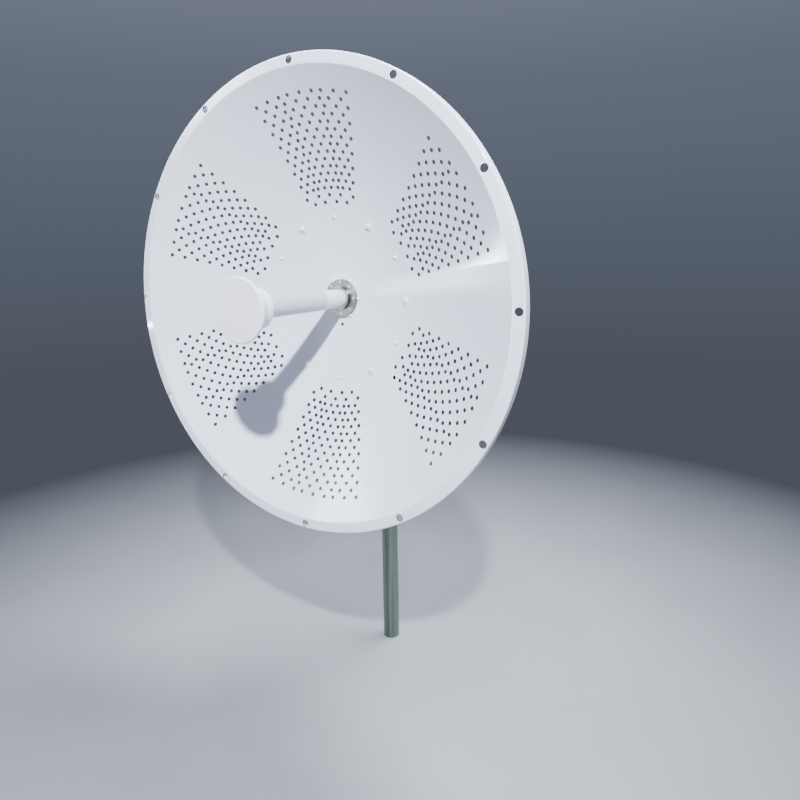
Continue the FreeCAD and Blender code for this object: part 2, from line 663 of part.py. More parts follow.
def head_pieces():
    start = "sizes.head_start"
    seam = "sizes.head_front - sizes.lid_thickness"
    waist, mouth, wall = 37.5, 50.0, 2.5
    cup = turned([(TUBE_FIT, start), (waist, start), (waist, "%s + 19" % start), (mouth, seam),
                  (mouth - 1.7, seam), (mouth - 1.7, "%s - 1" % seam),
                  (mouth - 3.4, "%s - 1" % seam), (waist - wall, "%s + 19.8" % start),
                  (waist - wall, "%s + %g" % (start, wall)), (TUBE_FIT, "%s + %g" % (start, wall))],
                 "cup")
    rounded(cup, [(waist, start)], 6)
    drain = rod(1.6, 20, ("%g * cos(45 deg)" % (waist - 12), "-%g * sin(45 deg)" % (waist - 12),
                          "%s + 8" % start), turn=radial_turn(-45))
    node("feed_cup", on_dish(cut(cup, [drain])))
    edge = "sizes.lid_diameter / 2"
    front = "sizes.head_front"
    lid = turned([(0, seam), (edge, seam), (edge, front), (0, front)], "lid")
    rounded(lid, [(edge, front)], 2.2)
    node("feed_lid", on_dish(rounded(lid, [(edge, seam)], 0.8)))
    node("lid_gasket", on_dish(turned([(mouth - 3.2, "%s - 1" % seam), (mouth - 1.9, "%s - 1" % seam),
                                       (mouth - 1.9, seam), (mouth - 3.2, seam)], "gasket")))
    plate = "%s - 4" % seam
    node("sub_reflector", on_dish(turned([(0, "%s - 2" % plate), (44, "%s - 2" % plate),
                                          (44, plate), (0, plate)], "sub_reflector")))
    bore = "%s - 0.05" % TUBE_BORE
    lip = "%s + 6.2" % start
    under = "%s - 2.1" % plate
    node("dielectric_cone", on_dish(turned([("%s - 3.5" % bore, "%s - 14" % start),
                                            (bore, "%s - 14" % start), (bore, lip), (41, under),
                                            (37, under), ("%s - 3.5" % bore, lip)], "cone")))


def housing_pieces():
    """The square block behind the dish; its flats face down to the left and right."""
    half = "sizes.housing_side / 2"
    bevel = "(sizes.housing_side / 2 - 6)"
    front, back, station = "sizes.housing_front", "sizes.housing_back", "sizes.port_station"
    outline = [(half, "-%s" % bevel), (half, bevel), (bevel, half), ("-%s" % bevel, half),
               ("-%s" % half, bevel), ("-%s" % half, "-%s" % bevel), ("-%s" % bevel, "-%s" % half),
               (bevel, "-%s" % half)]
    corner = 20.0
    corners = [(sx * corner, sy * corner) for sx in (-1, 1) for sy in (-1, 1)]
    cap_thickness = 4.0
    cap_back = "%s - %g" % (back, cap_thickness)

    block_body = placed(padded(outline, "XY_Plane", "%s - %s" % (front, back), "housing"),
                        (0, 0, back))
    tools = [rod(TUBE_BORE, 80, (0, 0, "%s - 5" % back)),
             rod(TUBE_FIT, 20, (0, 0, "%s - 12" % front)),
             rod(PROBE_HOLE, 30, (0, 0, station), "-x"), rod(PROBE_HOLE, 30, (0, 0, station), "-y")]
    tools += [rod(1.55, 22, (x, y, "%s - 10" % back)) for x, y in corners]
    for offset in (-PORT_SCREW, PORT_SCREW):
        for level in (-PORT_SCREW, PORT_SCREW):
            height = "%s + %g" % (station, level)
            tools.append(rod(1.55, 10, (-20, offset, height), "-x"))
            tools.append(rod(1.55, 10, (offset, -20, height), "-y"))
    node("feed_housing", on_dish(cut(block_body, tools), 45))

    cap = placed(padded(outline, "XY_Plane", cap_thickness, "housing_cap"), (0, 0, cap_back))
    tools = [rod(1.7, 10, (x, y, "%s - 2" % cap_back)) for x, y in corners]
    node("housing_cap", on_dish(cut(cap, tools), 45))
    node("housing_screws", on_dish(group([screw((x, y, cap_back), "-z", "socket", (5.5, 3), (3, 14))
                                          for x, y in corners]), 45))

    connectors, insulators, pins, screws = [], [], [], []
    for axis, across in (("-x", (0, 1)), ("-y", (1, 0))):
        out = (-(1 - across[0]), -(1 - across[1]))
        connectors.append(placed(n_connector(), (0, 0, station), AXIS_TURN[axis]))
        insulators.append(placed(cut(rod(4.25, 13, (0, 0, 20)), [rod(1.55, 13, (0, 0, 20))]),
                                 (0, 0, station), AXIS_TURN[axis]))
        pins.append(placed(rod(1.5, 35, (0, 0, 5)), (0, 0, station), AXIS_TURN[axis]))
        for side in (-1, 1):
            for level in (-1, 1):
                offset = PORT_SCREW * side
                spot = (29 * out[0] + offset * across[0], 29 * out[1] + offset * across[1],
                        "%s + %g" % (station, PORT_SCREW * level))
                screws.append(screw(spot, axis, "socket", (5.5, 3), (3, 8)))
    node("n_connectors", on_dish(group(connectors), 45))
    node("connector_insulators", on_dish(group(insulators), 45))
    node("probe_pins", on_dish(group(pins), 45))
    node("connector_screws", on_dish(group(screws), 45))


def n_connector():
    """A square-flanged threaded socket along +z, seated on a face of the housing."""
    seat, thickness, mouth = 26, 3, 45
    half = PORT_FLANGE / 2
    flange = block((-half, -half, seat), (half, half, seat + thickness))
    barrel = rod(PORT_RADIUS, mouth - seat, (0, 0, seat))
    bore = rod(PROBE_HOLE, DRILL, (0, 0, seat - 6))
    cavity = rod(6.0, DRILL, (0, 0, mouth - 9))
    holes = [rod(1.6, DRILL, (PORT_SCREW * sx, PORT_SCREW * sy, seat - 2))
             for sx in (-1, 1) for sy in (-1, 1)]
    return cut(fuse([flange, barrel]), [bore, cavity] + holes)


# ---- Tilt cheeks, mast bracket, clamps and stop collar -------------------------------

PIVOT_Y = "-sizes.pivot_forward"
PIVOT_Z = "sizes.pivot_height"
LOCK_Z = "sizes.pivot_height + sizes.lock_radius"
PLATE_REAR = "(-sizes.vertex_setback - sizes.ring_back + sizes.plate)"


def tilt_cheek(side):
    """An angle bracket: a foot on the back plate and a web with the pivot and the arc slot."""
    front = "(%s + 26)" % PIVOT_Y
    low, high, bevel = "(%s - 25)" % PIVOT_Z, "(%s + 20)" % LOCK_Z, 12
    web = [(PLATE_REAR, low), ("%s - %g" % (front, bevel + 4), low),
           (front, "%s + %g" % (low, bevel + 4)), (front, "%s - %g" % (high, bevel)),
           ("%s - %g" % (front, bevel), high), (PLATE_REAR, high)]
    inner = "sizes.cheek_inside"
    start_x = inner if side > 0 else "-%s - sizes.plate" % inner
    body = placed(padded(web, "YZ_Plane", "sizes.plate", "web"), (start_x, 0, 0))
    reach = 34
    low_x = inner if side > 0 else "-%s - %g" % (inner, reach)
    high_x = "%s + %g" % (inner, reach) if side > 0 else "-%s" % inner
    foot = block((low_x, PLATE_REAR, 800), (high_x, "%s + sizes.plate" % PLATE_REAR, 900))
    through = "-%s - 10" % inner if side < 0 else "%s - 10" % inner
    tools = [rod("sizes.pivot_diameter / 2 + sizes.running_gap", 30, (through, PIVOT_Y, PIVOT_Z), "+x")]
    tools += arc_slot(through)
    tools += [rod(BOLT_HOLE / 2, 30, (x, "%s - 10" % PLATE_REAR, "sizes.dish_height + %g" % z), "+y")
              for x, z in cheek_bolt_spots() if x * side > 0]
    return cut(fuse([body, foot]), tools)


def arc_slot(through):
    """Cutters for a slot about the pivot that lets the lock bolt pass over the tilt range."""
    half_width = "(sizes.lock_diameter / 2 + 0.3)"
    start, sweep = 180 - size("tilt_down"), size("tilt_up") + size("tilt_down")
    turn = AXIS_TURN["+x"].multiply(Rotation(Vector(0, 0, 1), start))
    outer = rod("sizes.lock_radius + %s" % half_width, 30, (through, PIVOT_Y, PIVOT_Z), turn=turn)
    outer.Angle = sweep
    inner = rod("sizes.lock_radius - %s" % half_width, 30, (through, PIVOT_Y, PIVOT_Z), "+x")
    ends = []
    for angle in (start, start + sweep):
        y = "%s + sizes.lock_radius * sin(%g deg)" % (PIVOT_Y, angle)
        z = "%s - sizes.lock_radius * cos(%g deg)" % (PIVOT_Z, angle)
        ends.append(rod(half_width, 30, (through, y, z), "+x"))
    return [cut(outer, [inner])] + ends


def mast_bracket():
    """A channel that wraps the front of the mast, with a cheek each side for the pivot."""
    outer = "(sizes.cheek_inside - sizes.cheek_gap)"
    inner = "(%s - sizes.plate)" % outer
    rear, web = "-sizes.jaw_depth", "(-sizes.jaw_depth - sizes.plate)"
    tip = "(%s - 16)" % PIVOT_Y
    outline = [("-%s" % outer, tip), ("-%s" % outer, rear), (outer, rear), (outer, tip),
               (inner, tip), (inner, web), ("-%s" % inner, web), ("-%s" % inner, tip)]
    channel = padded(outline, "XY_Plane", "sizes.bracket_high - sizes.bracket_low", "channel")
    softened(channel, [(outer, rear), ("-%s" % outer, rear)], 6)
    softened(channel, [(inner, web), ("-%s" % inner, web)], 2)
    placed(channel, (0, 0, "sizes.bracket_low"))
    tools = [rod("sizes.pivot_diameter / 2 + 0.1", 200, (-100, PIVOT_Y, PIVOT_Z), "+x"),
             rod("sizes.lock_diameter / 2 + 0.1", 200, (-100, PIVOT_Y, LOCK_Z), "+x")]
    tools += [rod(BOLT_HOLE / 2, 30, (x, -45, z), "+y") for x, z in clamp_spots()]
    return cut(channel, tools)


def softened(body, corners, radius):
    """Round the upright edges of a padded body at the given plan points."""
    doc.recompute()
    tip = body.Tip
    wanted = [(value(x), value(y)) for x, y in corners]
    names = []
    for number, edge in enumerate(tip.Shape.Edges, 1):
        ends = [vertex.Point for vertex in edge.Vertexes]
        for x, y in wanted:
            if all(abs(end.x - x) < 1e-4 and abs(end.y - y) < 1e-4 for end in ends):
                names.append("Edge%d" % number)
    fillet = body.newObject("PartDesign::Fillet", body.Name + "_round%d" % len(body.Group))
    fillet.Base = (tip, names)
    bound(fillet, Radius=radius)
    body.Tip = fillet


def clamp_spots():
    offset = "sizes.clamp_bolt_offset"
    return [(x, z) for x in ("-" + offset, offset) for z in ("sizes.jaw_low", "sizes.jaw_high")]


def jaw(outline, level):
    body = placed(padded(outline, "XY_Plane", "sizes.jaw_height", "jaw"),
                  (0, 0, "%s - sizes.jaw_height / 2" % level))
    tools = [rod("sizes.mast_diameter / 2 + sizes.running_gap", "sizes.jaw_height + 20",
                 (0, 0, "%s - sizes.jaw_height / 2 - 10" % level))]
    tools += [rod(BOLT_HOLE / 2, 80, (x, -40, z), "+y") for x, z in clamp_spots() if z == level]
    return cut(body, tools)


def bracket_pieces():
    for side, label in ((1, "right"), (-1, "left")):
        node("tilt_cheek_" + label, tilt_cheek(side))
    node("mast_bracket", mast_bracket())
    width, split, back = "sizes.jaw_width / 2", "sizes.jaw_split", "sizes.jaw_depth"
    front_outline = [("-" + width, "-" + back), (width, "-" + back), (width, "-14"), (27, "-" + split),
                     (-27, "-" + split), ("-" + width, "-14")]
    rear_outline = [("-" + width, split), (width, split), (width, REAR_SEAT), (25, REAR_SEAT),
                    (19, back), (-19, back), (-25, REAR_SEAT), ("-" + width, REAR_SEAT)]
    levels = ("sizes.jaw_low", "sizes.jaw_high")
    node("front_jaws", group([jaw(front_outline, level) for level in levels]))
    node("rear_jaws", group([jaw(rear_outline, level) for level in levels]))
    web = "(-sizes.jaw_depth - sizes.plate)"
    thin = 1.6
    bolts, washers, nuts = [], [], []
    for x, z in clamp_spots():
        washers.append(washer((x, REAR_SEAT, z), "+y", 16, thin, 8))
        washers.append(washer((x, web, z), "-y", 16, thin, 8))
        bolts.append(screw((x, REAR_SEAT + thin, z), "+y", "hex", (13, 5.3), (8, 62)))
        nuts.append(nut((x, "%s - %g" % (web, thin), z), "-y", 13, 6.5, 8))
    node("clamp_bolts", group(bolts))
    node("clamp_washers", group(washers))
    node("clamp_nuts", group(nuts))
    cheek_fasteners("pivot", PIVOT_Z, 16, 6.4, 8, "sizes.pivot_diameter", 20)
    cheek_fasteners("lock", LOCK_Z, 13, 5.3, 6.5, "sizes.lock_diameter", 22)


def cheek_fasteners(stem, z, across, head, nut_height, diameter, washer_width):
    """A bolt, two washers and a nut on each side, through a tilt cheek and the bracket."""
    outside = "(sizes.cheek_inside + sizes.plate + sizes.cheek_gap)"
    inside = "(sizes.cheek_inside - sizes.cheek_gap - sizes.plate)"
    thick = 2
    bolts, washers, nuts = [], [], []
    for sign, out, inward in (("", "+x", "-x"), ("-", "-x", "+x")):
        washers.append(washer((sign + outside, PIVOT_Y, z), out, washer_width, thick, diameter))
        washers.append(washer((sign + inside, PIVOT_Y, z), inward, washer_width, thick, diameter))
        seat = "%s(%s + %g)" % (sign, outside, thick)
        length = "%s - %s + %g" % (outside, inside, 2 * thick + nut_height + 2)
        bolts.append(screw((seat, PIVOT_Y, z), out, "hex", (across, head), (diameter, length)))
        nuts.append(nut(("%s(%s - %g)" % (sign, inside, thick), PIVOT_Y, z), inward, across,
                        nut_height, diameter))
    node(stem + "_bolts", group(bolts))
    node(stem + "_washers", group(washers))
    node(stem + "_nuts", group(nuts))


def mast_pieces():
    radius, bore = "sizes.mast_diameter / 2", "(sizes.mast_diameter / 2 - sizes.mast_wall)"
    height = "sizes.mast_height"
    node("mast_tube", turned([(bore, 0), (radius, 0), (radius, height), (bore, height)], "mast"))
    plug, insert, lip = "%s - 0.1" % bore, 18, 3
    low, top = "%s - %g" % (height, insert), "%s + %g" % (height, lip)
    cap = turned([(0, low), (plug, low), (plug, height), (radius, height), (radius, top),
                  (0, top)], "cap")
    node("mast_cap", rounded(cap, [(radius, top)], lip / 2))
    node("mast_foot_plug", turned([(0, 0), (plug, 0), (plug, insert), (0, insert)], "plug"))


def collar_pieces():
    top = "sizes.collar_top"
    low = "(%s - sizes.stop_height)" % top
    edge = "sizes.stop_radius"
    ring = placed(rod(edge, "sizes.stop_height"), (0, 0, low))
    lugs = block((-11, 24, low), (11, 46, top))
    bore = rod("sizes.mast_diameter / 2 + sizes.running_gap", 60, (0, 0, "%s - 10" % low))
    split = block((-2, 10, "%s - 10" % low), (2, 60, "%s + 10" % top))
    bolt_y = 38
    middle = "(%s - sizes.stop_height / 2)" % top
    hole = rod(3.3, 60, (-30, bolt_y, middle), "+x")
    node("stop_collar", cut(fuse([ring, lugs]), [bore, split, hole]))
    node("collar_bolt", screw((11, bolt_y, middle), "+x", "socket", (10, 6), (6, 30)))
    node("collar_nut", nut((-11, bolt_y, middle), "-x", 10, 5, 6))


dish_pieces()
feed_pieces()
bracket_pieces()
mast_pieces()
collar_pieces()

doc.recompute()
for obj in doc.Objects:
    if "Invalid" in obj.State or "Error" in obj.State:
        raise RuntimeError("%s failed: %s" % (obj.Name, obj.State))
os.makedirs("parts", exist_ok=True)
for label, obj in nodes.items():
    shape = obj.Shape
    if shape.isNull() or not shape.isValid() or not shape.Solids or shape.Volume <= 0:
        raise RuntimeError("%s has no valid solid" % label)
    shape.exportStep("parts/%s.step" % label)
    print("%-22s solids %3d  volume %10.1f" % (label, len(shape.Solids), shape.Volume))
print(len(nodes), "nodes")
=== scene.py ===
"""Looks of the perforated dish antenna on its mast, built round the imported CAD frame.

Metres, in the row frame: +Z up, the dish faces -Y.  The dish's sheet is drawn in its
own frame (x to the right seen from the front, y up, z from the vertex towards the feed
head) and moved by DISH_TO_ROW.  Every other piece is its CAD node with a material.
"""
import json
import math

import bpy
import numpy as np
from mathutils import Matrix, Vector
from mathutils.geometry import delaunay_2d_cdt


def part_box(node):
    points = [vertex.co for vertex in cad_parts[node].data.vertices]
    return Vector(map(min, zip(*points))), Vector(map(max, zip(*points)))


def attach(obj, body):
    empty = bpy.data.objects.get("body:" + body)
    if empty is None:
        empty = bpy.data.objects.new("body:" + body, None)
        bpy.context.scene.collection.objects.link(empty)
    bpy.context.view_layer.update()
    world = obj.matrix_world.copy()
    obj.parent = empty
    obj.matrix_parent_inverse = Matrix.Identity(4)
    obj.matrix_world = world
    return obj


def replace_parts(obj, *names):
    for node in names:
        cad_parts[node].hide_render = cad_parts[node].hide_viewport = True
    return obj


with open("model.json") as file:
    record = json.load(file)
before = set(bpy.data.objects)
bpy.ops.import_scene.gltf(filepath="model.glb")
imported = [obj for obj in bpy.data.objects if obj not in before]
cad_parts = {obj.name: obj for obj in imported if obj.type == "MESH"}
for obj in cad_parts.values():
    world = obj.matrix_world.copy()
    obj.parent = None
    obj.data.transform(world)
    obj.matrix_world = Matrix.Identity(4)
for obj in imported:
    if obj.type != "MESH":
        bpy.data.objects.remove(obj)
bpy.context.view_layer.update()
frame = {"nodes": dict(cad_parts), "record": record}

# ---- Sizes -------------------------------------------------------------------------

MM = 0.001
sheet_low, sheet_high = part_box("reflector")
DEPTH = 145 * MM                        # vertex to the flat rim
VERTEX_Y = sheet_low.y + DEPTH
AXIS_Z = (sheet_low.z + sheet_high.z) / 2
EDGE = 450 * MM                         # radius over the rolled rim
INNER_EDGE = EDGE - 21.4 * MM           # where the bowl meets the flat rim
SHEET = 1.5 * MM                        # thickness of the spun aluminium
SKIRT = 18 * MM                         # depth of the skirt behind the rim
BEND = 3.5 * MM                         # outside radius of the rolled rim
SEAT = 50 * MM                          # radius of the flat seat under the hub
HUB_HOLE = 24 * MM
CREASE = 1.2 * MM                       # half the width over which a crease is eased
HEM = 0.4 * MM                          # rounding of the skirt's free edge
FOCAL = INNER_EDGE ** 2 / (4 * DEPTH)

RELIEF = 3.75 * MM                      # radius of a wind relief hole
RELIEF_EDGE = 0.25 * MM                 # width of the rounded edge round it
RELIEF_OUTER = 387.8 * MM               # radius of the outermost row
RELIEF_PITCH = 14.2 * MM                # row pitch along the sheet
RELIEF_ROWS = 16
RELIEF_STEP = 2.116                     # degrees from one column to the next
RELIEF_SHIFT = 1.06                     # degrees that the outer columns move inwards

PATCHES = 6
PATCH_START = 30                        # degrees, middle of the first patch
RIM_CIRCLE, RIM_HOLE = 439.25 * MM, 7 * MM
BOLT_CIRCLE, BOLT_HOLE, RIVET_HOLE = 165 * MM, 3.3 * MM, 2.85 * MM
RIVET_START = 30                        # degrees
DRAIN_PLACE, DRAIN_HOLE = 55 * MM, 3.5 * MM
DRAIN_ANGLE = -90                       # degrees, straight down
HOLE_EDGE = 0.2 * MM                    # width of the rounded edge round these holes

HOLE_SIDES = 16
HUB_SIDES = 96
RIM_SIDES = 288
BEND_STEPS = 6                          # facets across the rolled rim

DISH_TO_ROW = Matrix(((1, 0, 0, 0), (0, 0, -1, VERTEX_Y), (0, 1, 0, AXIS_Z), (0, 0, 0, 1)))


# ---- Meshes ------------------------------------------------------------------------

def make_piece(name, points, faces, corner_normals):
    """A smooth piece of the dish from points in its frame and the normal at each corner."""
    mesh = bpy.data.meshes.new(name)
    mesh.from_pydata([tuple(p) for p in points], [], faces)
    mesh.transform(DISH_TO_ROW)
    mesh.shade_smooth()
    turn = np.array(DISH_TO_ROW.to_3x3())
    mesh.normals_split_custom_set((corner_normals @ turn.T).tolist())
    piece = bpy.data.objects.new(name, mesh)
    bpy.context.scene.collection.objects.link(piece)
    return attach(piece, "dish")


# ---- Reflector ---------------------------------------------------------------------

def arc_length(radius):
    slope = radius / (2 * FOCAL)
    return FOCAL * (slope * math.sqrt(1 + slope ** 2) + math.asinh(slope))


def radius_at(length):
    """The radius where the parabola's arc from the vertex has the given length."""
    low, high = 0.0, 2 * EDGE
    for _ in range(50):
        middle = (low + high) / 2
        low, high = (middle, high) if arc_length(middle) < length else (low, middle)
    return low


def relief_columns(row):
    """Angles, in degrees from the middle of a patch, of the holes in one row."""
    steps = {14: (0, 4, 8), 15: (2, 6)}.get(row, range(row % 2, 9, 2))
    for index in steps:
        angle = RELIEF_STEP * index - (RELIEF_SHIFT if index >= 4 else 0)
        yield angle
        if index:
            yield -angle


def sheet_holes():
    """(x, y, radius, edge width) of every hole in the dish, in plan."""
    def ring(count, radius, hole, start=0.0):
        for index in range(count):
            angle = math.radians(start + 360 * index / count)
            yield radius * math.cos(angle), radius * math.sin(angle), hole, HOLE_EDGE

    outer = arc_length(RELIEF_OUTER)
    for row in range(RELIEF_ROWS):
        radius = radius_at(outer - RELIEF_PITCH * row)
        for patch in range(PATCHES):
            for column in relief_columns(row):
                angle = math.radians(PATCH_START + 360 / PATCHES * patch + column)
                yield radius * math.cos(angle), radius * math.sin(angle), RELIEF, RELIEF_EDGE
    yield from ring(12, RIM_CIRCLE, RIM_HOLE)
    yield from ring(6, BOLT_CIRCLE, BOLT_HOLE)
    yield from ring(6, BOLT_CIRCLE, RIVET_HOLE, RIVET_START)
    yield from ring(1, DRAIN_PLACE, DRAIN_HOLE, DRAIN_ANGLE)


def height(radius):
    """Height of the front of the sheet over the vertex's plane."""
    return np.clip(radius, SEAT, INNER_EDGE) ** 2 / (4 * FOCAL)


def slope(radius):
    """Slope of the front, eased over the two creases."""
    into_bowl = np.clip((radius - SEAT + CREASE) / (2 * CREASE), 0, 1)
    onto_rim = 1 - np.clip((radius - INNER_EDGE + CREASE) / (2 * CREASE), 0, 1)
    return into_bowl * onto_rim * np.clip(radius, SEAT, INNER_EDGE) / (2 * FOCAL)


def surface(plan):
    """Points and normals of the front of the sheet over plan points."""
    radius = np.linalg.norm(plan, axis=1)
    lean = slope(radius)
    out = plan / radius[:, None]
    normals = np.column_stack((-lean[:, None] * out, np.ones(len(plan))))
    normals /= np.linalg.norm(normals, axis=1)[:, None]
    return np.column_stack((plan, height(radius))), normals


def circle(radius, sides):
    angles = 2 * np.pi * np.arange(sides) / sides
    return radius * np.column_stack((np.cos(angles), np.sin(angles)))


def hole_outline(x, y, radius):
    """A round hole square to the sheet, seen in plan."""
    centre = np.array((x, y))
    out = centre / np.linalg.norm(centre)
    across = np.array((-out[1], out[0]))
    squeeze = 1 / math.sqrt(1 + slope(np.linalg.norm(centre)) ** 2)
    ring = circle(radius, HOLE_SIDES)
    return centre + ring[:, :1] * out * squeeze + ring[:, 1:] * across


def filling_points(holes):
    """Plan points between the holes, on rings, that keep the triangles even."""
    spacing, clear, fewest = 13 * MM, 2.2 * MM, 24
    centres = holes[:, :2]
    reach = holes[:, 2] + holes[:, 3] + clear
    rings = [circle(r, max(fewest, int(2 * math.pi * r / spacing)))
             for r in np.arange(HUB_HOLE + spacing / 2, INNER_EDGE - spacing / 2, spacing)]
    plan = np.vstack(rings)
    gaps = np.linalg.norm(plan[:, None] - centres[None], axis=2)
    return plan[(gaps > reach).all(axis=1)]


def build_reflector():
    """The perforated sheet: front and back skins, hole walls, rolled rim and skirt."""
    holes = np.array(list(sheet_holes()))
    loops = [circle(HUB_HOLE, HUB_SIDES)] + [hole_outline(x, y, r + e) for x, y, r, e in holes]
    creases = [circle(r, RIM_SIDES) for r in
               (INNER_EDGE - CREASE, INNER_EDGE, INNER_EDGE + CREASE, EDGE - BEND)]
    creases += [circle(r, HUB_SIDES) for r in (SEAT - CREASE, SEAT, SEAT + CREASE)]
    plan, edges, starts = [], [], []
    for ring in loops + creases:
        start = sum(len(p) for p in plan)
        starts.append(start)
        edges += [(start + k, start + (k + 1) % len(ring)) for k in range(len(ring))]
        plan.append(ring)
    plan.append(filling_points(holes))
    plan = np.vstack(plan)
    merge_distance = 1e-7
    points, _, triangles, origin, _, _ = delaunay_2d_cdt(
        [Vector(p) for p in plan], edges, [], 0, merge_distance)
    place = {}
    for index, sources in enumerate(origin):
        for source in sources:
            place[source] = index
    plan = np.array([tuple(p) for p in points])
    triangles = np.array(triangles)
    opening = np.full(len(plan), -1)             # the hole that a point is on the edge of
    for number, (start, ring) in enumerate(zip(starts, loops)):
        opening[[place[start + k] for k in range(len(ring))]] = number
    sides = opening[triangles]
    inside = (sides[:, 0] >= 0) & (sides == sides[:, :1]).all(axis=1)
    triangles = triangles[~inside]
    corners = plan[triangles]
    sense = np.cross(corners[:, 1] - corners[:, 0], corners[:, 2] - corners[:, 0])
    triangles[sense < 0] = triangles[sense < 0][:, ::-1]

    front, front_normals = surface(plan)
    back = front - front_normals * SHEET
    count = len(front)
    points = [front, back]
    faces = [tuple(t) for t in triangles] + [tuple(t[::-1] + count) for t in triangles]
    normals = [front_normals[triangles].reshape(-1, 3),
               -front_normals[triangles[:, ::-1]].reshape(-1, 3)]
    total = 2 * count

    def wall(upper, lower, upper_normals, lower_normals):
        """Quads between two loops of point numbers that go round together."""
        size = len(upper)
        for k in range(size):
            n = (k + 1) % size
            faces.append((upper[k], upper[n], lower[n], lower[k]))
            normals.append(np.array((upper_normals[k], upper_normals[n],
                                     lower_normals[n], lower_normals[k])))

    hub_loop = [place[k] for k in range(HUB_SIDES)]
    inward = -np.column_stack((circle(1, HUB_SIDES), np.zeros(HUB_SIDES)))
    wall(hub_loop[::-1], [k + count for k in hub_loop][::-1], inward[::-1], inward[::-1])
    lip_drop = 0.8                               # of the rounded edge's width
    for (_, _, r, e), start in zip(holes, starts[1:]):
        outer = [place[start + k] for k in range(HOLE_SIDES)]
        centre = front[outer].mean(axis=0)
        axis = front_normals[outer].mean(axis=0)
        axis /= np.linalg.norm(axis)
        arms = front[outer] - centre
        arms -= (arms @ axis)[:, None] * axis
        arms /= np.linalg.norm(arms, axis=1)[:, None]
        lip = centre + arms * r - axis * e * lip_drop
        foot = centre + arms * r - axis * SHEET
        points += [lip, foot]
        upper = list(range(total, total + HOLE_SIDES))
        lower = [k + HOLE_SIDES for k in upper]
        total += 2 * HOLE_SIDES
        behind = [k + count for k in outer]
        rounded = (axis - arms) / math.sqrt(2)
        wall(outer[::-1], upper[::-1], front_normals[outer][::-1], rounded[::-1])
        wall(upper[::-1], lower[::-1], rounded[::-1], -arms[::-1])
        flat = np.repeat(-axis[None], HOLE_SIDES, axis=0)
        wall(lower[::-1], behind[::-1], flat, flat)

    rim_start = starts[len(loops) + 3]           # the outermost of the four round the rim
    rim_front = [place[rim_start + k] for k in range(RIM_SIDES)]
    rim_back = [k + count for k in rim_front]
    around = circle(1, RIM_SIDES)

    def ring_at(radius, level):
        nonlocal total
        points.append(np.column_stack((around * radius, np.full(RIM_SIDES, level))))
        total += RIM_SIDES
        return list(range(total - RIM_SIDES, total))

    def ring_normals(out, up):
        return np.column_stack((around * out, np.full(RIM_SIDES, up)))

    rings = [(rim_front, ring_normals(0, 1))]
    for step in range(1, BEND_STEPS + 1):
        angle = math.pi / 2 * (1 - step / BEND_STEPS)
        out, up = math.cos(angle), math.sin(angle)
        rings.append((ring_at(EDGE - BEND + BEND * out, DEPTH - BEND + BEND * up),
                      ring_normals(out, up)))
    low = DEPTH - SKIRT
    rings.append((ring_at(EDGE, low + HEM), ring_normals(1, 0)))
    rings.append((ring_at(EDGE - HEM, low), ring_normals(0, -1)))
    rings.append((ring_at(EDGE - SHEET + HEM, low), ring_normals(0, -1)))
    rings.append((ring_at(EDGE - SHEET, low + HEM), ring_normals(-1, 0)))
    inner = BEND - SHEET
    for step in range(BEND_STEPS):
        angle = math.pi / 2 * step / BEND_STEPS
        out, up = math.cos(angle), math.sin(angle)
        rings.append((ring_at(EDGE - BEND + inner * out, DEPTH - BEND + inner * up),
                      ring_normals(-out, -up)))
    rings.append((rim_back, ring_normals(0, -1)))
    for (upper, upper_normals), (lower, lower_normals) in zip(rings, rings[1:]):
        wall(upper[::-1], lower[::-1], upper_normals[::-1], lower_normals[::-1])

    piece = make_piece("reflector_skin", np.vstack(points),
                       [tuple(int(k) for k in f) for f in faces], np.vstack(normals))
    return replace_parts(piece, "reflector")


# ---- Materials ---------------------------------------------------------------------

